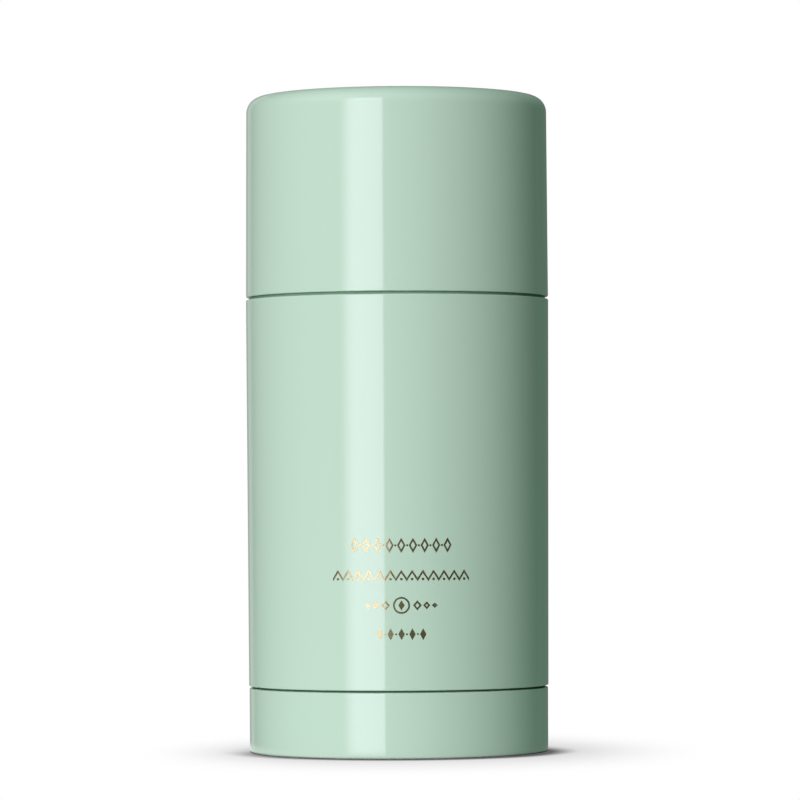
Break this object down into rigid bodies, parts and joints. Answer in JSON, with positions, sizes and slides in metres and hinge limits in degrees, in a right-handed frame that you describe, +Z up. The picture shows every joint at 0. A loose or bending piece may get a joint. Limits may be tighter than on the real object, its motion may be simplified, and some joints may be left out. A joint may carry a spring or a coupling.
{
  "type": "deodorant stick",
  "caption": "Round twist-up deodorant stick with a glossy green pull-off cap, a sleeved barrel, a turning base and a screw that lifts the stick.",
  "frame": {"origin": "centre of the underside, on the surface that the pack stands on", "axes": "+Z up along the pack's axis, -Y out of the printed front, +X to the right of someone who faces that front"},
  "size_m": [0.046, 0.046, 0.0995],
  "materials": {
    "green_lacquer": "gloss",
    "white_plastic": "satin",
    "screw_plastic": "satin",
    "deodorant": "satin",
    "gold_foil": "polished"
  },
  "bodies": {
    "housing": {"body_shell": "green_lacquer", "inner_barrel": "white_plastic"},
    "dial": {"dial_shell": "green_lacquer", "dial_wheel": "white_plastic", "lead_screw": "screw_plastic"},
    "carrier": {"elevator": "white_plastic", "deodorant_block": "deodorant"},
    "cap": {"outer_cap": "green_lacquer", "cap_liner": "white_plastic"}
  },
  "joints": [
    {"name": "dial_turn", "type": "hinge", "parent": "housing", "child": "dial", "pos_m": [0, 0, 0.005], "axis": [0, 0, 1], "range_deg": [0, 5400]},
    {"name": "stick_rise", "type": "slide", "parent": "housing", "child": "carrier", "axis": [0, 0, 1], "range_m": [0, 0.06]},
    {"name": "cap_pull", "type": "slide", "parent": "carrier", "child": "cap", "axis": [0, 0, 1], "range_m": [0, 0.04]}
  ],
  "couplings": [
    {"joint": "dial_turn", "follows": "stick_rise", "rad_per_m": 1570.8}
  ]
}
